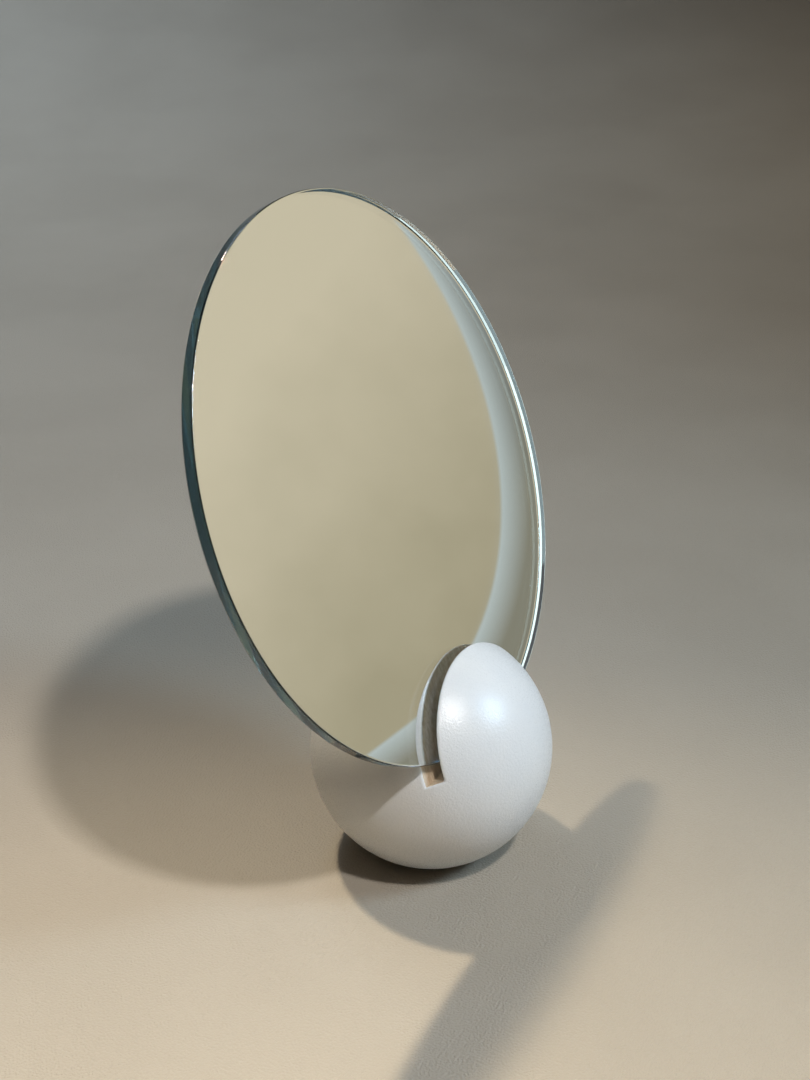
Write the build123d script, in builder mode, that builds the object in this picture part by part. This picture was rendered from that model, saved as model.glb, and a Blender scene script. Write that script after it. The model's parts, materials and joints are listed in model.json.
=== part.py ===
from build123d import *
from math import cos, radians, sin, sqrt
import os

# Table mirror: a round frameless mirror that stands in a slanted slot of a painted wooden ball.
# Millimetres and degrees. +Z is up, the mirror faces -Y and leans back towards +Y.
# The origin is the middle of the felt pad's underside, where the mirror stands on the table.

# Ball
ball_diameter = 80.0
foot_flat_diameter = 42.0

# Slot in the ball: it runs right through from side to side and leans back with the mirror
lean = 22.0
slot_rear_offset = 19.2
slot_floor_height = 2.0
slot_edge_bevel = 0.6

# Mirror: float glass, silvered and painted on its back
mirror_diameter = 180.0
glass_thickness = 3.8
silver_thickness = 0.05
paint_thickness = 0.15
front_bevel = 1.0
back_arris = 0.3

# Room for the glass in the slot
slot_front_clearance = 0.8
rim_clearance = 0.1

# Steel weight, pushed up into the ball from below, with a flat ring of wood left around its bore
foot_ring_width = 5.0
weight_height = 22.0
weight_bore_clearance = 0.1

# Felt pad that covers the weight and the foot
felt_thickness = 1.5
felt_edge_inset = 1.0

ball_radius = ball_diameter / 2
foot_drop = sqrt(ball_radius**2 - (foot_flat_diameter / 2) ** 2)
ball_height = felt_thickness + foot_drop
weight_bore_radius = foot_flat_diameter / 2 - foot_ring_width
mirror_radius = mirror_diameter / 2
coated_radius = mirror_radius - back_arris
mirror_middle = slot_floor_height + rim_clearance + mirror_radius

# Distances forward from the ball's middle to the layers of the mirror and to the slot's front wall
silver_offset = slot_rear_offset + paint_thickness
glass_offset = silver_offset + silver_thickness
slot_front_offset = glass_offset + glass_thickness + slot_front_clearance

# The plane of the mirror through the ball's middle: local X runs along the slot, local Y up the
# mirror, and local Z forward, out of the mirror's face.
lean_plane = Plane(
    origin=(0, 0, ball_height),
    x_dir=(1, 0, 0),
    z_dir=(0, -cos(radians(lean)), sin(radians(lean))),
)
facing_axis = Axis(lean_plane.origin, lean_plane.z_dir)

# The same three directions for the slot's cross-section: local X up the mirror, local Y forward
section_plane = Plane(origin=lean_plane.origin, x_dir=lean_plane.y_dir, z_dir=lean_plane.x_dir)


def bevel_line(wall_offset, side):
    """Start and end of the bevel on one wall's edge, run on past the ball's surface; side is 1 in front."""
    edge = Vector(sqrt(ball_radius**2 - wall_offset**2), wall_offset)
    along_ball = Vector(-edge.Y, edge.X).normalized() * side
    start = edge - Vector(slot_edge_bevel, 0)
    surface = edge + along_ball * slot_edge_bevel
    return start, surface + (surface - start)


os.makedirs("parts", exist_ok=True)

# Cutter for the slot: a slab as wide as the slot that flares where it breaks the edges at the
# ball's surface. It is turned about the mirror's facing direction and cut off at the slot's floor.
with BuildPart() as slot_cutter:
    rear_start, rear_end = bevel_line(slot_rear_offset, -1)
    front_start, front_end = bevel_line(slot_front_offset, 1)
    with BuildSketch(section_plane):
        with BuildLine():
            Polyline(
                (0, slot_rear_offset),
                rear_start,
                rear_end,
                (ball_diameter, rear_end.Y),
                (ball_diameter, front_end.Y),
                front_end,
                front_start,
                (0, slot_front_offset),
                close=True,
            )
        make_face()
    revolve(axis=facing_axis)
    floor_point = lean_plane.from_local_coords((0, slot_floor_height, 0))
    split(bisect_by=Plane(origin=floor_point, z_dir=lean_plane.y_dir), keep=Keep.TOP)

# Turned ball with a flat foot, the slot for the mirror and a bore for the weight
with BuildPart() as ball_base:
    with BuildSketch(Plane.XZ):
        with Locations((0, ball_height)):
            Circle(ball_radius)
        with Locations((0, felt_thickness)):
            Rectangle(ball_radius, ball_diameter, align=(Align.MIN, Align.MIN), mode=Mode.INTERSECT)
    revolve(axis=Axis.Z)
    add(slot_cutter.part, mode=Mode.SUBTRACT)
    with BuildSketch(Plane.XY.offset(felt_thickness)):
        Circle(weight_bore_radius)
    extrude(amount=weight_height, mode=Mode.SUBTRACT)
ball_base.part.label = "ball_base"
export_step(ball_base.part, "parts/ball_base.step")

# Length of turned steel bar, held in the bore and covered by the felt
with BuildPart() as ballast_weight:
    with BuildSketch(Plane.XY.offset(felt_thickness)):
        Circle(weight_bore_radius - weight_bore_clearance)
    extrude(amount=weight_height)
ballast_weight.part.label = "ballast_weight"
export_step(ballast_weight.part, "parts/ballast_weight.step")

# Round self-adhesive felt pad under the foot
with BuildPart() as felt_pad:
    with BuildSketch(Plane.XY):
        Circle(foot_flat_diameter / 2 - felt_edge_inset)
    extrude(amount=felt_thickness)
felt_pad.part.label = "felt_pad"
export_step(felt_pad.part, "parts/felt_pad.step")

# Protective paint on the mirror's back, which leans on the slot's rear wall
with BuildPart() as back_paint:
    with BuildSketch(lean_plane.offset(slot_rear_offset)):
        with Locations((0, mirror_middle)):
            Circle(coated_radius)
    extrude(amount=paint_thickness)
back_paint.part.label = "back_paint"
export_step(back_paint.part, "parts/back_paint.step")

# Silver film between the paint and the glass
with BuildPart() as silver_layer:
    with BuildSketch(lean_plane.offset(silver_offset)):
        with Locations((0, mirror_middle)):
            Circle(coated_radius)
    extrude(amount=silver_thickness)
silver_layer.part.label = "silver_layer"
export_step(silver_layer.part, "parts/silver_layer.step")

# Round sheet of float glass, its polished edge bevelled in front and lightly broken at the back
with BuildPart() as mirror_glass:
    with BuildSketch(lean_plane.offset(glass_offset)):
        with Locations((0, mirror_middle)):
            Circle(mirror_radius)
    extrude(amount=glass_thickness)
    rims = mirror_glass.edges().filter_by(GeomType.CIRCLE).sort_by(facing_axis)
    chamfer(rims[-1], front_bevel)
    chamfer(rims[0], back_arris)
mirror_glass.part.label = "mirror_glass"
export_step(mirror_glass.part, "parts/mirror_glass.step")
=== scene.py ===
import json
import math

import bmesh
import bpy
from mathutils import Matrix, Vector


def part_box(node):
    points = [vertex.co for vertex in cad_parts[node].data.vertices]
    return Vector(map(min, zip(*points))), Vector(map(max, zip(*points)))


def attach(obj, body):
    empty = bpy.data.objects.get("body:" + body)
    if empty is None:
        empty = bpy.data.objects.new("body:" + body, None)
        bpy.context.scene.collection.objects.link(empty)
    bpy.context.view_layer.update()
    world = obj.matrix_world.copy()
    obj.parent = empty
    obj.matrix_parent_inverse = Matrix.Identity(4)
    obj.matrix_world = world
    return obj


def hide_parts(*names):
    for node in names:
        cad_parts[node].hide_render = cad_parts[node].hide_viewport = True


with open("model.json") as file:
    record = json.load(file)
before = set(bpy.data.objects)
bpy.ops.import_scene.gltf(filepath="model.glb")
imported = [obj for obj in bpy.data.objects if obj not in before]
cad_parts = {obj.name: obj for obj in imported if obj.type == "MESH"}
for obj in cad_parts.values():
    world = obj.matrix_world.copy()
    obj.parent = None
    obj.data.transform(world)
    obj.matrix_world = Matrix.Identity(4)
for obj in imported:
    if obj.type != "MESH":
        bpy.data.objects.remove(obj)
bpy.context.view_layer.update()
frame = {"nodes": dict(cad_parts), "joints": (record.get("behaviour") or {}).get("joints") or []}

# Steel weight: a length of round bar, pushed up into the ball from below so that the light wooden
# stand doesn't tip under the glass. It is parted off on a lathe, faced, and broken at both edges.
upright = Vector((0, 0, 1))
weight_edge_break = 0.0006
weight_face_ring = 0.0035
weight_steps = 96
tool_mark_waves = 26000.0


def turn(profile, middle, axis, steps):
    """Points and faces of a piece turned about an axis through its middle.

    The profile lists (radius, height) from the middle of the underside to the middle of the top.
    """
    side = Vector((1, 0, 0))
    other = axis.cross(side)
    points = []
    rings = []
    for radius, height in profile:
        count = steps if radius > 0 else 1
        rings.append(range(len(points), len(points) + count))
        for step in range(count):
            angle = 2 * math.pi * step / steps
            spoke = side * math.cos(angle) + other * math.sin(angle)
            points.append(middle + axis * height + spoke * radius)
    faces = []
    for low, high in zip(rings, rings[1:]):
        for step in range(steps):
            after = (step + 1) % steps
            corners = [low[step % len(low)], low[after % len(low)]]
            corners += [high[after % len(high)], high[step % len(high)]]
            faces.append(list(dict.fromkeys(corners)))
    return points, faces


def make_piece(name, points, faces, finish):
    """A smooth-shaded mesh piece whose real edges, over 30 degrees, stay crisp."""
    mesh = bpy.data.meshes.new(name)
    mesh.from_pydata(points, [], faces)
    mesh.shade_smooth()
    mesh.set_sharp_from_angle(angle=math.radians(30))
    mesh.materials.append(finish)
    piece = bpy.data.objects.new(name, mesh)
    bpy.context.scene.collection.objects.link(piece)
    return piece


def feed(finish, node, inputs):
    """Links sockets to a node's inputs, and sets plain values on them."""
    for name, value in inputs.items():
        if isinstance(value, bpy.types.NodeSocket):
            finish.node_tree.links.new(value, node.inputs[name])
        else:
            node.inputs[name].default_value = value


def add_node(finish, kind, inputs, **settings):
    """A new shading node of a finish, with its settings and inputs."""
    node = finish.node_tree.nodes.new("ShaderNode" + kind)
    for name, value in settings.items():
        setattr(node, name, value)
    feed(finish, node, inputs)
    return node


def new_finish(name):
    """An empty finish, its surface shader and the place on the piece that its pattern follows."""
    finish = bpy.data.materials.new(name)
    finish.use_nodes = True
    shader = finish.node_tree.nodes["Principled BSDF"]
    where = add_node(finish, "TexCoord", {}).outputs["Object"]
    return finish, shader, where


def mottle(finish, where, per_metre, detail=2.0, distortion=0.0):
    """Cloudy pattern from 0 to 1, with about so many spots in a metre."""
    inputs = {"Vector": where, "Scale": per_metre, "Detail": detail, "Distortion": distortion}
    return add_node(finish, "TexNoise", inputs).outputs["Fac"]


def ranged(finish, value, low, high, to_low=0.0, to_high=1.0):
    """A value between low and high, brought to another range and held inside it."""
    inputs = {"Value": value, "From Min": low, "From Max": high}
    inputs.update({"To Min": to_low, "To Max": to_high})
    return add_node(finish, "MapRange", inputs).outputs["Result"]


def combined(finish, operation, first, second, third=0.0):
    """Result of a sum, difference, product or quotient of numbers on the surface."""
    numbers = {0: first, 1: second, 2: third}
    return add_node(finish, "Math", numbers, operation=operation).outputs[0]


def shade_between(finish, share, first, second):
    """Colour that goes from the first to the second as the share goes from 0 to 1."""
    inputs = {0: share, 6: first, 7: second}
    return add_node(finish, "Mix", inputs, data_type="RGBA").outputs[2]


def relief(finish, height, depth, strength=1.0):
    """Shading normal of a fine relief of the given depth in metres."""
    inputs = {"Height": height, "Distance": depth, "Strength": strength}
    return add_node(finish, "Bump", inputs).outputs["Normal"]


def turned_steel():
    """Bare steel with the fine rings that a facing tool leaves."""
    finish, shader, where = new_finish("turned_steel")
    from_axis = add_node(
        finish, "VectorMath", {0: where, 1: (1.0, 1.0, 0.0)}, operation="MULTIPLY"
    ).outputs["Vector"]
    radius = add_node(finish, "VectorMath", {0: from_axis}, operation="LENGTH").outputs["Value"]
    rings = combined(finish, "MULTIPLY", radius, tool_mark_waves)
    wave = add_node(finish, "Math", {0: rings}, operation="SINE").outputs[0]
    stain = mottle(finish, where, 140.0, 4.0)
    dull = (0.36, 0.35, 0.34, 1)
    bright = (0.60, 0.60, 0.59, 1)
    surface = {
        "Base Color": shade_between(finish, stain, dull, bright),
        "Metallic": 1.0,
        "Roughness": ranged(finish, stain, 0.3, 0.7, 0.28, 0.42),
        "Normal": relief(finish, wave, 0.00001, 0.6),
    }
    feed(finish, shader, surface)
    return finish


weight_low, weight_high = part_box("ballast_weight")
weight_radius = weight_high.x
weight_shoulder = weight_radius - weight_edge_break
weight_profile = [
    (0, weight_low.z),
    (weight_face_ring, weight_low.z),
    (weight_shoulder, weight_low.z),
    (weight_radius, weight_low.z + weight_edge_break),
    (weight_radius, weight_high.z - weight_edge_break),
    (weight_shoulder, weight_high.z),
    (weight_face_ring, weight_high.z),
    (0, weight_high.z),
]
weight_form = turn(weight_profile, Vector(), upright, weight_steps)
steel_weight = make_piece("steel_weight", *weight_form, turned_steel())
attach(steel_weight, "stand")
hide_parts("ballast_weight")

# Ball: turned from pale wood, bored for the weight, flattened at the foot and sawn with a slanted
# slot from side to side. It is sprayed satin off-white, which wraps a little way over the slot's
# softened edges and leaves the wood bare inside.
facing_up = Vector(frame["joints"][0]["axis"]).normalized()
facing = Vector((1, 0, 0)).cross(facing_up)
rear_lip_round = 0.0010
front_lip_round = 0.0005
floor_lip_round = 0.0005
slot_play = 0.0008
rim_play = 0.0001
paint_wrap = 0.0004
paint_ragged = 0.00012
paint_blend = 0.0001
bore_play = 0.0001


def span(node, direction):
    """Nearest and farthest reach of a CAD node along a direction, in metres from the origin."""
    reaches = [vertex.co.dot(direction) for vertex in frame["nodes"][node].data.vertices]
    return min(reaches), max(reaches)


ball_low, ball_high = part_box("ball_base")
ball_radius = ball_high.x
ball_middle = Vector((0, 0, ball_high.z - ball_radius))
foot_height = ball_low.z
ball_ahead = ball_middle.dot(facing)
ball_up = ball_middle.dot(facing_up)
slot_rear = span("back_paint", facing)[0] - ball_ahead
slot_front = span("mirror_glass", facing)[1] - ball_ahead + slot_play
slot_floor = span("mirror_glass", facing_up)[0] - ball_up - rim_play


def crowd_ends(count):
    """Shares from 0 to 1 that lie closer together at both ends."""
    crowding = 0.85
    for step in range(count + 1):
        share = step / count
        yield share - crowding * math.sin(2 * math.pi * share) / (2 * math.pi)


def crowd_start(count):
    """Shares from 0 to 1 that lie closer together at the start."""
    crowding = 1.5
    for step in range(count + 1):
        yield (step / count) ** crowding


def seen_from_ball(along, up, ahead):
    """A point given along the slot, up the mirror and ahead of the ball's middle."""
    return Vector((along, 0, 0)) + facing_up * up + facing * ahead


def nearest_core(point, direction, limit, rounding):
    """Nearest point of the ball's core on one side of a slot face, shrunk by the edge rounding."""
    reach = ball_radius - rounding
    core = point * min(1.0, reach / point.length)
    if core.dot(direction) <= limit:
        return core
    beyond = point.dot(direction) - limit
    flat = point - direction * beyond
    if beyond > 0 and flat.length <= reach:
        return flat
    sideways = point - direction * point.dot(direction)
    return direction * limit + sideways.normalized() * math.sqrt(reach**2 - limit**2)


def soften(point):
    """A point of the sharp-edged ball, brought onto the ball with rounded slot edges."""
    sides = (
        (facing, slot_rear - rear_lip_round, rear_lip_round),
        (-facing, -slot_front - front_lip_round, front_lip_round),
        (facing_up, slot_floor - floor_lip_round, floor_lip_round),
    )
    found = []
    for direction, limit, rounding in sides:
        core = nearest_core(point, direction, limit, rounding)
        outward = point - core
        found.append((outward.length - rounding, core + outward.normalized() * rounding))
    return min(found, key=lambda entry: entry[0])[1]


def slotted_ball():
    """Points and faces of the slotted ball about its middle, before the foot is cut flat.

    Rings run round the facing direction, so that the slot's edges lie on rings. Columns start at
    the slot's end on the right and go round over its top first.
    """
    over_slot = 88
    under_slot = 88
    rings_behind = 56
    rings_in_slot = 14
    rings_ahead = 36
    columns = over_slot + under_slot
    rear_rise = math.asin(slot_rear / ball_radius)
    front_rise = math.asin(slot_front / ball_radius)
    quarter = math.pi / 2
    rises = [rear_rise - (rear_rise + quarter) * share for share in crowd_start(rings_behind)][::-1]
    rear_ring = len(rises) - 1
    slot_rise = front_rise - rear_rise
    rises += [rear_rise + slot_rise * share for share in crowd_ends(rings_in_slot)][1:]
    front_ring = len(rises) - 1
    rises += [front_rise + (quarter - front_rise) * share for share in crowd_start(rings_ahead)][1:]

    points = []
    index = {}

    def place(key, point):
        if key not in index:
            index[key] = len(points)
            points.append(point)
        return index[key]

    def ring_place(ring, column):
        ahead = ball_radius * math.sin(rises[ring])
        across = ball_radius * math.cos(rises[ring])
        slot_ahead = min(max(ahead, slot_rear), slot_front)
        end = math.asin(slot_floor / math.sqrt(ball_radius**2 - slot_ahead**2))
        if column <= over_slot:
            angle = end + (math.pi - 2 * end) * over_shares[column]
        else:
            angle = math.pi - end + (math.pi + 2 * end) * under_shares[column - over_slot]
        return across * math.cos(angle), across * math.sin(angle), ahead

    over_shares = list(crowd_ends(over_slot))
    under_shares = list(crowd_ends(under_slot))

    def on_ball(ring, column):
        column %= columns
        if ring in (0, len(rises) - 1):
            column = 0
        return place(("ball", ring, column), seen_from_ball(*ring_place(ring, column)))

    def on_floor(ring, column):
        if column in (0, over_slot):
            return on_ball(ring, column)
        along, up, ahead = ring_place(ring, column)
        return place(("floor", ring, column), seen_from_ball(along, slot_floor, ahead))

    def on_wall(ring, row, column):
        if row == 0 or column in (0, over_slot):
            return on_ball(ring, column)
        if row == wall_rows:
            return on_floor(ring, column)
        along, up, ahead = ring_place(ring, column)
        share = wall_shares[row]
        height = up + (slot_floor - up) * share
        return place(("wall", ring, row, column), seen_from_ball(along, height, ahead))

    wall_rows = 22
    lip_crowding = 1.4
    wall_shares = [share**lip_crowding for share in crowd_start(wall_rows)]
    faces = []

    def add_face(*corners):
        corners = list(dict.fromkeys(corners))
        if len(corners) > 2:
            faces.append(corners)

    for ring in range(len(rises) - 1):
        for column in range(columns):
            if rear_ring <= ring < front_ring and column < over_slot:
                add_face(
                    on_floor(ring, column),
                    on_floor(ring, column + 1),
                    on_floor(ring + 1, column + 1),
                    on_floor(ring + 1, column),
                )
                continue
            add_face(
                on_ball(ring, column),
                on_ball(ring, column + 1),
                on_ball(ring + 1, column + 1),
                on_ball(ring + 1, column),
            )
    for column in range(over_slot):
        for row in range(wall_rows):
            add_face(
                on_wall(rear_ring, row, column),
                on_wall(rear_ring, row, column + 1),
                on_wall(rear_ring, row + 1, column + 1),
                on_wall(rear_ring, row + 1, column),
            )
            add_face(
                on_wall(front_ring, row + 1, column),
                on_wall(front_ring, row + 1, column + 1),
                on_wall(front_ring, row, column + 1),
                on_wall(front_ring, row, column),
            )
    return [soften(point) + ball_middle for point in points], faces


def cut_foot(piece, bore_radius, bore_top):
    """Cuts the ball flat at its foot and bores it for the weight."""
    mesh = bmesh.new()
    mesh.from_mesh(piece.data)
    everything = mesh.verts[:] + mesh.edges[:] + mesh.faces[:]
    foot_middle = Vector((0, 0, foot_height))
    bmesh.ops.bisect_plane(
        mesh, geom=everything, dist=1e-7, plane_co=foot_middle, plane_no=-upright, clear_outer=True
    )
    foot_edge = [edge for edge in mesh.edges if edge.is_boundary]
    bore_steps = 96
    rims = []
    for height in (foot_height, bore_top):
        rim = []
        for step in range(bore_steps):
            angle = 2 * math.pi * step / bore_steps
            spoke = Vector((math.cos(angle), math.sin(angle), 0))
            rim.append(mesh.verts.new(spoke * bore_radius + upright * height))
        rims.append(rim)
    mouth, top = rims
    mouth_edge = []
    for step in range(bore_steps):
        after = (step + 1) % bore_steps
        mouth_edge.append(mesh.edges.new((mouth[step], mouth[after])))
        mesh.faces.new((mouth[step], mouth[after], top[after], top[step])).normal_flip()
    mesh.faces.new(top)
    bmesh.ops.bridge_loops(mesh, edges=foot_edge + mouth_edge)
    bmesh.ops.recalc_face_normals(mesh, faces=mesh.faces[:])
    for face in mesh.faces:
        face.smooth = True
    mesh.to_mesh(piece.data)
    mesh.free()
    crisp_over = math.radians(38)
    piece.data.set_sharp_from_angle(angle=crisp_over)


def stretched(finish, where, scale):
    """The place on the piece, stretched so that a pattern runs long in one direction."""
    return add_node(finish, "Mapping", {"Vector": where, "Scale": scale}).outputs["Vector"]


def level_between(finish, share, first, second):
    """Number that goes from the first to the second as the share goes from 0 to 1."""
    return add_node(finish, "Mix", {0: share, 2: first, 3: second}, data_type="FLOAT").outputs[0]


def satin_paint_on_wood():
    """Sprayed off-white paint with a fine orange peel, and bare wood where the paint stops."""
    finish, shader, where = new_finish("satin_paint_on_wood")
    middle = tuple(ball_middle)
    from_middle = add_node(
        finish, "VectorMath", {0: where, 1: middle}, operation="DISTANCE"
    ).outputs["Value"]
    ragged = ranged(finish, mottle(finish, where, 900.0), 0.3, 0.7, -paint_ragged, paint_ragged)
    painted_to = combined(finish, "ADD", from_middle, ragged)
    paint_stop = ball_radius - paint_wrap
    painted = ranged(finish, painted_to, paint_stop - paint_blend, paint_stop + paint_blend)

    clouds = mottle(finish, where, 45.0, 3.0)
    cool_white = (0.68, 0.685, 0.68, 1)
    warm_white = (0.72, 0.715, 0.70, 1)
    coat = shade_between(finish, ranged(finish, clouds, 0.35, 0.65), cool_white, warm_white)

    along_grain = stretched(finish, where, (1.0, 1.0, 0.06))
    grain = mottle(finish, along_grain, 900.0, 5.0, 0.4)
    pale_wood = (0.64, 0.51, 0.37, 1)
    dark_wood = (0.45, 0.33, 0.21, 1)
    timber = shade_between(finish, ranged(finish, grain, 0.35, 0.68), pale_wood, dark_wood)

    peel = mottle(finish, where, 1300.0, 2.0)
    dust = mottle(finish, where, 3500.0, 2.0)
    skin = level_between(finish, 0.25, peel, dust)
    satin = ranged(finish, dust, 0.3, 0.7, 0.24, 0.36)
    surface = {
        "Base Color": shade_between(finish, painted, timber, coat),
        "Roughness": level_between(finish, painted, 0.72, satin),
        "Normal": relief(finish, level_between(finish, painted, grain, skin), 0.00013),
    }
    feed(finish, shader, surface)
    return finish


bore_radius = weight_radius + bore_play
ball = make_piece("painted_ball", *slotted_ball(), satin_paint_on_wood())
cut_foot(ball, bore_radius, weight_high.z)
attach(ball, "stand")
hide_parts("ball_base")

# Felt pad: a punched disc of dark wool felt, stuck under the foot over the weight. It keeps the
# ball from scratching the table; the dark line under the ball is the ball's contact shadow.
felt_low, felt_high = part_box("felt_pad")
felt_radius = felt_high.x
felt_soft_edge = 0.0004
felt_steps = 128


def wool_felt():
    """Matted dark wool: short fibres in all directions, with a dusty sheen."""
    finish, shader, where = new_finish("wool_felt")
    fibres = mottle(finish, where, 3200.0, 6.0, 1.5)
    tufts = mottle(finish, where, 500.0, 3.0)
    black_wool = (0.012, 0.012, 0.013, 1)
    grey_wool = (0.055, 0.053, 0.050, 1)
    fleck = ranged(finish, fibres, 0.35, 0.7)
    surface = {
        "Base Color": shade_between(finish, fleck, black_wool, grey_wool),
        "Roughness": 0.95,
        "Sheen Weight": 0.3,
        "Sheen Roughness": 0.5,
        "Normal": relief(finish, level_between(finish, 0.4, fibres, tufts), 0.0003, 0.8),
    }
    feed(finish, shader, surface)
    return finish


felt_profile = [
    (0, felt_low.z),
    (felt_radius * 0.5, felt_low.z),
    (felt_radius - felt_soft_edge, felt_low.z),
    (felt_radius - felt_soft_edge * 0.25, felt_low.z + felt_soft_edge * 0.5),
    (felt_radius, felt_low.z + felt_soft_edge * 1.5),
    (felt_radius, felt_high.z - felt_soft_edge * 1.5),
    (felt_radius - felt_soft_edge * 0.25, felt_high.z - felt_soft_edge * 0.5),
    (felt_radius - felt_soft_edge, felt_high.z),
    (felt_radius * 0.5, felt_high.z),
    (0, felt_high.z),
]
felt_form = turn(felt_profile, Vector(), upright, felt_steps)
felt = make_piece("felt_disc", *felt_form, wool_felt())
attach(felt, "stand")
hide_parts("felt_pad")

# Mirror glass: a round sheet of float glass, ground a hair narrower behind, softly rounded in front
# and polished. It stands loose in the slot and leans on the rear wall. It is drawn a hair small, so
# that its round, which is smaller than the CAD's bevel, stays inside the CAD's box.
glass_back, glass_front = span("mirror_glass", facing)
round_allowance = 0.00022
glass_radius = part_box("mirror_glass")[1].x - round_allowance
silver_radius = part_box("silver_layer")[1].x - round_allowance
front_round = 0.0006
back_arris = 0.00015
edge_blend = 0.0002
glass_steps = 512
front_rim = glass_radius - front_round
glass_low, glass_high = span("mirror_glass", facing_up)
mirror_middle = facing_up * ((glass_low + glass_high) / 2)


def float_glass():
    """Clear float glass with its blue-green body, faint wiping marks and a less even edge."""
    finish, shader, where = new_finish("float_glass")
    wiped = mottle(finish, stretched(finish, where, (1.0, 0.35, 0.35)), 60.0, 3.0, 0.8)
    face_gloss = ranged(finish, wiped, 0.5, 0.75, 0.0, 0.01)
    edge_gloss = ranged(finish, mottle(finish, where, 900.0, 2.0), 0.3, 0.7, 0.02, 0.06)
    middle = tuple(mirror_middle)
    spoke = add_node(finish, "VectorMath", {0: where, 1: middle}, operation="SUBTRACT").outputs[0]
    across = add_node(
        finish, "VectorMath", {0: spoke, 1: tuple(facing)}, operation="CROSS_PRODUCT"
    ).outputs[0]
    radius = add_node(finish, "VectorMath", {0: across}, operation="LENGTH").outputs["Value"]
    on_edge = ranged(finish, radius, front_rim, front_rim + edge_blend)
    surface = {
        "Base Color": (1.0, 1.0, 1.0, 1),
        "Roughness": level_between(finish, on_edge, face_gloss, edge_gloss),
        "IOR": 1.52,
        "Transmission Weight": 1.0,
    }
    feed(finish, shader, surface)
    blue_green = {"Color": (0.32, 0.525, 0.66, 1), "Density": 15.0}
    tint = add_node(finish, "VolumeAbsorption", blue_green)
    output = finish.node_tree.nodes["Material Output"]
    finish.node_tree.links.new(tint.outputs["Volume"], output.inputs["Volume"])
    return finish


def flat_rings(radius, height, outward):
    """Profile points across a flat round face, from its middle out to just inside its rim."""
    shares = (0.0, 0.1, 0.3, 0.55, 0.8, 0.96, 0.999)
    rings = [(radius * share, height) for share in shares]
    return rings if outward else rings[::-1]


def polished_edge():
    """Profile points up the edge: a fine arris, a wall that widens, and a soft round in front."""
    wall_foot = silver_radius + back_arris
    wall_low = glass_back + back_arris
    wall_high = glass_front - front_round
    yield silver_radius, glass_back
    yield wall_foot, wall_low
    for share in (0.1, 0.5, 0.9):
        widened = wall_foot + (glass_radius - wall_foot) * share
        yield widened, wall_low + (wall_high - wall_low) * share
    steps = 12
    for step in range(steps + 1):
        bend = math.pi / 2 * step / steps
        yield front_rim + front_round * math.cos(bend), wall_high + front_round * math.sin(bend)


glass_profile = (
    flat_rings(silver_radius, glass_back, True)
    + list(polished_edge())
    + flat_rings(front_rim, glass_front, False)
)
glass = make_piece(
    "glass_sheet", *turn(glass_profile, mirror_middle, facing, glass_steps), float_glass()
)
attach(glass, "mirror")
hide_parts("mirror_glass")

# Silver film: the bright metal coat that makes the glass a mirror, laid wet on its whole back as
# far as the arris. It has grown onto the glass, so it starts a hair inside the sheet's back.
silver_back, silver_front = span("silver_layer", facing)
silver_bite = 0.00001


def bright_silver():
    """Bright silver, a touch duller and warmer in faint clouds."""
    finish, shader, where = new_finish("bright_silver")
    clouds = mottle(finish, where, 30.0, 3.0)
    cool_silver = (0.95, 0.955, 0.94, 1)
    warm_silver = (0.965, 0.96, 0.94, 1)
    surface = {
        "Base Color": shade_between(finish, clouds, cool_silver, warm_silver),
        "Metallic": 1.0,
        "Roughness": ranged(finish, clouds, 0.3, 0.7, 0.0, 0.006),
    }
    feed(finish, shader, surface)
    return finish


silver_profile = (
    flat_rings(silver_radius, silver_back, True)
    + [(silver_radius, silver_back), (silver_radius, silver_front + silver_bite)]
    + flat_rings(silver_radius, silver_front + silver_bite, False)
)
silver = make_piece(
    "silver_film", *turn(silver_profile, mirror_middle, facing, glass_steps), bright_silver()
)
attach(silver, "mirror")
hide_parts("silver_layer")

# Backing paint: a matt grey coat, rolled over the silver so that it doesn't tarnish or scratch.
# It covers the whole back of the mirror and leans on the slot's rear wall.
paint_back, paint_front = span("back_paint", facing)


def rolled_grey():
    """Matt grey paint with the stipple of a roller and a few darker clouds."""
    finish, shader, where = new_finish("rolled_grey")
    stipple = mottle(finish, where, 1100.0, 2.0)
    clouds = mottle(finish, where, 55.0, 4.0)
    pale_grey = (0.27, 0.275, 0.28, 1)
    dark_grey = (0.23, 0.235, 0.24, 1)
    patchy = ranged(finish, clouds, 0.35, 0.65)
    surface = {
        "Base Color": shade_between(finish, patchy, pale_grey, dark_grey),
        "Roughness": ranged(finish, stipple, 0.3, 0.7, 0.5, 0.66),
        "Normal": relief(finish, stipple, 0.00006, 0.6),
    }
    feed(finish, shader, surface)
    return finish


paint_profile = (
    flat_rings(silver_radius, paint_back, True)
    + [(silver_radius, paint_back), (silver_radius, paint_front)]
    + flat_rings(silver_radius, paint_front, False)
)
backing = make_piece(
    "backing_paint", *turn(paint_profile, mirror_middle, facing, glass_steps), rolled_grey()
)
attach(backing, "mirror")
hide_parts("back_paint")

# Table and backdrop: one seamless sweep of warm beige board with a fine pebbled skin. It runs flat
# under the mirror and curves up far away all round.
sweep_flat = 0.8
sweep_bend = 2.0
sweep_height = 3.0
sweep_bend_steps = 24
sweep_steps = 128


def pebbled_board():
    """Warm beige board with a fine leathery emboss."""
    finish, shader, where = new_finish("pebbled_board")
    pebbles = mottle(finish, where, 1300.0, 2.0)
    clouds = mottle(finish, where, 7.0, 3.0)
    pale = (0.380, 0.333, 0.268, 1)
    deep = (0.350, 0.305, 0.243, 1)
    surface = {
        "Base Color": shade_between(finish, ranged(finish, clouds, 0.35, 0.65), pale, deep),
        "Roughness": ranged(finish, pebbles, 0.3, 0.7, 0.48, 0.62),
        "Normal": relief(finish, pebbles, 0.00045),
    }
    feed(finish, shader, surface)
    return finish


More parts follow.
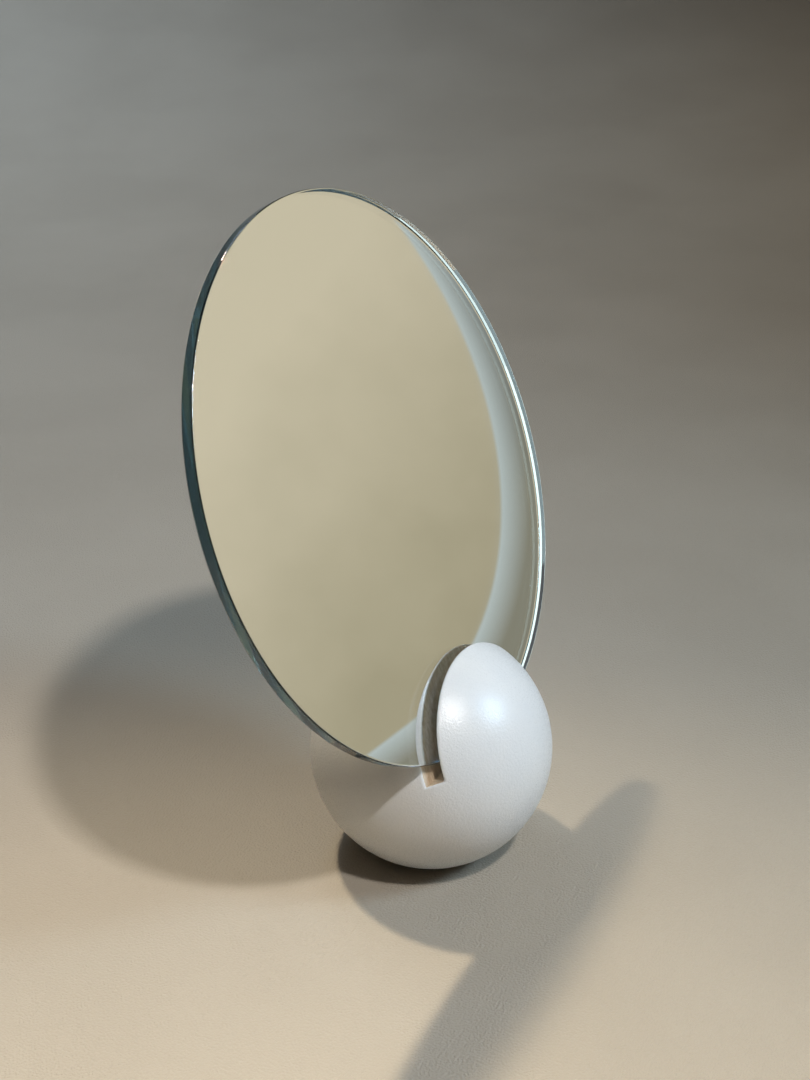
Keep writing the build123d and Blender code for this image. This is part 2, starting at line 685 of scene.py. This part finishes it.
sweep_profile = [(0, 0), (sweep_flat / 3, 0), (sweep_flat, 0)]
for step in range(1, sweep_bend_steps + 1):
    bend = math.pi / 2 * step / sweep_bend_steps
    rise = sweep_bend * (1 - math.cos(bend))
    sweep_profile.append((sweep_flat + sweep_bend * math.sin(bend), rise))
sweep_profile.append((sweep_flat + sweep_bend, sweep_height))
sweep_form = turn(sweep_profile, Vector(), upright, sweep_steps)
sweep = make_piece("table_sweep", *sweep_form, pebbled_board())
sweep.data.flip_normals()

# Glowing boards, not lamps, that paint the room seen in the mirror: a painted reflection of a lit
# wall on its right, warm up to a rounded corner and pale round it, and for the glass's edge a
# painted bright window that goes on overhead, a dim side, and a card of each on the table. They
# stand for the room, light nothing and cast no shadow, so they show through the glass alone.
mirror_eye = mirror_middle + facing * glass_front
wall_bearing = math.radians(53)
wall_distance = 0.38
wall_top = 0.42
wall_reach = 0.2
# Painted light on the wall's reflection: where the warm pool ends in a rounded corner, its warm and
# pale spill colours, and how they change with height and fade.
corner_middle = (-0.0737, 0.2673)
corner_reach = (0.1703, 0.2340)
warm_high = (0.686, 0.608, 0.442, 1)
warm_low = (0.44, 0.39, 0.262, 1)
spill_pale = (0.53, 0.59, 0.575, 1)
spill_low = (0.27, 0.26, 0.20, 1)
spill_high = (0.16, 0.16, 0.135, 1)
warm_rise = (0.06, 0.256)
spill_rise = (0.07, 0.16)
spill_fade = (0.001, 0.016)
corner_blend = 0.001
cloud_depth = 0.04
light_slant = -0.25


def make_board(name, bearing, reach, stations, glow):
    """A glowing board, seen only through the glass, square to a bearing from the mirror, through
    stations of distance and height.
    """
    away = Vector((math.sin(bearing), -math.cos(bearing), 0))
    across = Vector((math.cos(bearing), math.sin(bearing), 0))
    foot = Vector((mirror_eye.x, mirror_eye.y, 0))
    points = []
    for distance, height in stations:
        for aside in (-reach, reach):
            points.append(foot + away * distance + across * aside + upright * height)
    faces = [[low, low + 1, low + 3, low + 2] for low in range(0, len(points) - 2, 2)]
    board = make_piece(name, points, faces, glow)
    board.visible_camera = False
    board.visible_diffuse = False
    board.visible_glossy = False
    board.visible_shadow = False


def new_glow(name):
    """An empty glowing finish and its emission."""
    finish = bpy.data.materials.new(name)
    finish.use_nodes = True
    finish.node_tree.nodes.remove(finish.node_tree.nodes["Principled BSDF"])
    emission = add_node(finish, "Emission", {})
    output = finish.node_tree.nodes["Material Output"]
    finish.node_tree.links.new(emission.outputs["Emission"], output.inputs["Surface"])
    return finish, emission


def painted_wall_reflection(bearing):
    """Painted reflection of a lit wall: warm light that ends in a rounded corner and changes with
    height, with pale light that fades away round it.
    """
    finish, emission = new_glow("painted_wall_reflection")
    across = Vector((math.cos(bearing), math.sin(bearing), 0))
    where = add_node(finish, "TexCoord", {}).outputs["Object"]
    height = add_node(finish, "SeparateXYZ", {"Vector": where}).outputs["Z"]
    along = add_node(finish, "VectorMath", {0: where, 1: tuple(across)}, operation="DOT_PRODUCT")
    aside = combined(finish, "SUBTRACT", along.outputs["Value"], mirror_eye.dot(across))
    far_off = 3.0
    right = corner_middle[0], corner_middle[0] + corner_reach[0] * far_off
    below = corner_middle[1], corner_middle[1] - corner_reach[1] * far_off
    shares = {
        "X": ranged(finish, aside, *right, 0.0, far_off),
        "Y": ranged(finish, height, *below, 0.0, far_off),
    }
    from_corner = add_node(finish, "CombineXYZ", shares).outputs["Vector"]
    reach = add_node(finish, "VectorMath", {0: from_corner}, operation="LENGTH").outputs["Value"]
    scaled = {0: from_corner, 1: (1 / corner_reach[0], 1 / corner_reach[1], 0.0)}
    outward = add_node(finish, "VectorMath", scaled, operation="MULTIPLY").outputs["Vector"]
    steepness = add_node(finish, "VectorMath", {0: outward}, operation="LENGTH").outputs["Value"]
    excess = combined(finish, "MULTIPLY", combined(finish, "SUBTRACT", reach, 1.0), reach)
    outside = combined(finish, "DIVIDE", excess, steepness)

    clouds = ranged(finish, mottle(finish, where, 14.0, 4.0), 0.2, 0.8, -cloud_depth, cloud_depth)
    # Painted shading: the wall's light changes with height, slanted across it.
    tilted = combined(finish, "MULTIPLY_ADD", aside, light_slant, height)
    level = combined(finish, "ADD", tilted, clouds)
    warm = shade_between(finish, ranged(finish, level, *warm_rise), warm_low, warm_high)
    far = shade_between(finish, ranged(finish, level, *spill_rise), spill_low, spill_high)
    spill = shade_between(finish, ranged(finish, outside, *spill_fade), spill_pale, far)
    past_corner = ranged(finish, outside, -corner_blend, corner_blend)
    glow = shade_between(finish, past_corner, warm, spill)
    feed(finish, emission, {"Color": glow})
    return finish


def daylight(name, colour):
    """Even glow over a whole board, a painted reflection of daylight."""
    finish, emission = new_glow(name)
    feed(finish, emission, {"Color": colour})
    return finish


wall_stations = ((wall_distance, 0), (wall_distance, wall_top))
make_board("wall_board", wall_bearing, wall_reach, wall_stations, painted_wall_reflection(wall_bearing))
window_bearing = math.radians(-52)
window_reach = 0.42
window_stations = ((1.2, 0), (1.2, 1.0), (0.8, 1.6), (0.5, 1.71))
window_glow = daylight("window_glow", (1.25, 1.53, 1.50, 1))
make_board("window_board", window_bearing, window_reach, window_stations, window_glow)
overhead_bearing = 0.0
overhead_reach = 1.0
overhead_stations = ((0.9, 1.9), (0.35, 1.9))
make_board("overhead_board", overhead_bearing, overhead_reach, overhead_stations, window_glow)
side_bearing = math.radians(-92)
side_reach = 0.45
side_stations = ((1.2, 0), (1.2, 1.0), (0.8, 1.6))
side_glow = daylight("side_glow", (0.32, 0.40, 0.42, 1))
make_board("side_board", side_bearing, side_reach, side_stations, side_glow)
runner_bearing = math.radians(-85)
runner_reach = 0.21
runner_stations = ((1.2, 0.06), (0.8, 0.006), (0.03, 0.002))
make_board("side_runner", runner_bearing, runner_reach, runner_stations, side_glow)
card_bearing = math.radians(-15)
card_reach = 0.6
card_stations = ((1.2, 0.10), (0.6, 0.012), (0.25, 0.001))
card_glow = daylight("card_glow", (0.95, 1.16, 1.16, 1))
make_board("front_card", card_bearing, card_reach, card_stations, card_glow)

# Light: soft lamps round the mirror in a dim room. A plain one stands in front and above, a cool
# one on the right and a warm one high behind. Three more light the backdrop all round.


def softbox(name, direction, distance, aim, size, spread, power, colour):
    """A square lamp out from the mirror's middle, turned to shine on a point."""
    lamp = bpy.data.lights.new(name, "AREA")
    lamp.size = size
    lamp.spread = math.radians(spread)
    lamp.energy = power
    lamp.color = colour
    stand = bpy.data.objects.new(name, lamp)
    stand.location = mirror_eye + Vector(direction).normalized() * distance
    stand.rotation_mode = "QUATERNION"
    stand.rotation_quaternion = (stand.location - aim).to_track_quat("Z", "Y")
    stand.visible_camera = False
    bpy.context.scene.collection.objects.link(stand)


behind_mirror = Vector((-0.05, 0.25, 0))
left_front = Vector((-0.38, -0.20, 0))
far_left = Vector((0.5, 1.2, 0))
far_right = Vector((0.8, 0.15, 0))
far_front = Vector((0, -2.8, 1.3))
softbox("front_lamp", (-0.25, -0.50, 0.83), 1.3, behind_mirror, 0.08, 60, 1.43, (1.0, 0.98, 0.97))
softbox("window_lamp", (0.33, -0.77, 0.54), 1.2, ball_middle, 0.25, 60, 0.95, (0.55, 0.78, 1.0))
softbox("back_lamp", (0.22, 0.46, 0.86), 1.4, left_front, 0.08, 36, 1.6, (1.0, 0.85, 0.62))
softbox("cool_backdrop_lamp", (0.5, 0.6, 0.9), 2.1, far_left, 0.8, 96, 8.2, (0.68, 0.83, 1.0))
softbox("warm_backdrop_lamp", (0.9, -0.1, 0.9), 1.8, far_right, 0.8, 80, 0.7, (1.0, 0.78, 0.45))
softbox("front_backdrop_lamp", (0, -0.2, 1.0), 2.0, far_front, 0.6, 120, 20.0, (1.0, 0.97, 0.92))
room = bpy.data.worlds.new("dim_room")
room.use_nodes = True
room.node_tree.nodes["Background"].inputs["Color"].default_value = (0.86, 0.93, 1.0, 1)
room.node_tree.nodes["Background"].inputs["Strength"].default_value = 0.12
bpy.context.scene.world = room
bpy.context.scene.view_settings.view_transform = "Standard"
bounces_in_glass = 48
bpy.context.scene.cycles.max_bounces = bounces_in_glass
bpy.context.scene.cycles.glossy_bounces = bounces_in_glass
bpy.context.scene.cycles.transmission_bounces = bounces_in_glass

# Camera: it looks down on the mirror from its left front, as close as a hand-held phone, with the
# ball a little right of and below the middle of the picture.
view_turn = math.radians(-60.532)
view_rise = math.radians(23.962)
ball_right_of_view = 0.00864
ball_above_view = -0.06807
ball_from_lens = 0.48138
lens_length = 48.42
lens_frame = 36.0
view_right = Vector((math.cos(view_turn), math.sin(view_turn), 0))
view_back = Vector(
    (
        math.sin(view_turn) * math.cos(view_rise),
        -math.cos(view_turn) * math.cos(view_rise),
        math.sin(view_rise),
    )
)
view_up = view_back.cross(view_right)
lens = bpy.data.cameras.new("photo_view")
lens.lens = lens_length
lens.sensor_width = lens_frame
lens.clip_start = 0.01
camera = bpy.data.objects.new("photo_view", lens)
eye = (
    ball_middle
    - view_right * ball_right_of_view
    - view_up * ball_above_view
    + view_back * ball_from_lens
)
turned = Matrix((view_right, view_up, view_back)).transposed()
camera.matrix_world = Matrix.Translation(eye) @ turned.to_4x4()
bpy.context.scene.collection.objects.link(camera)
bpy.context.scene.camera = camera
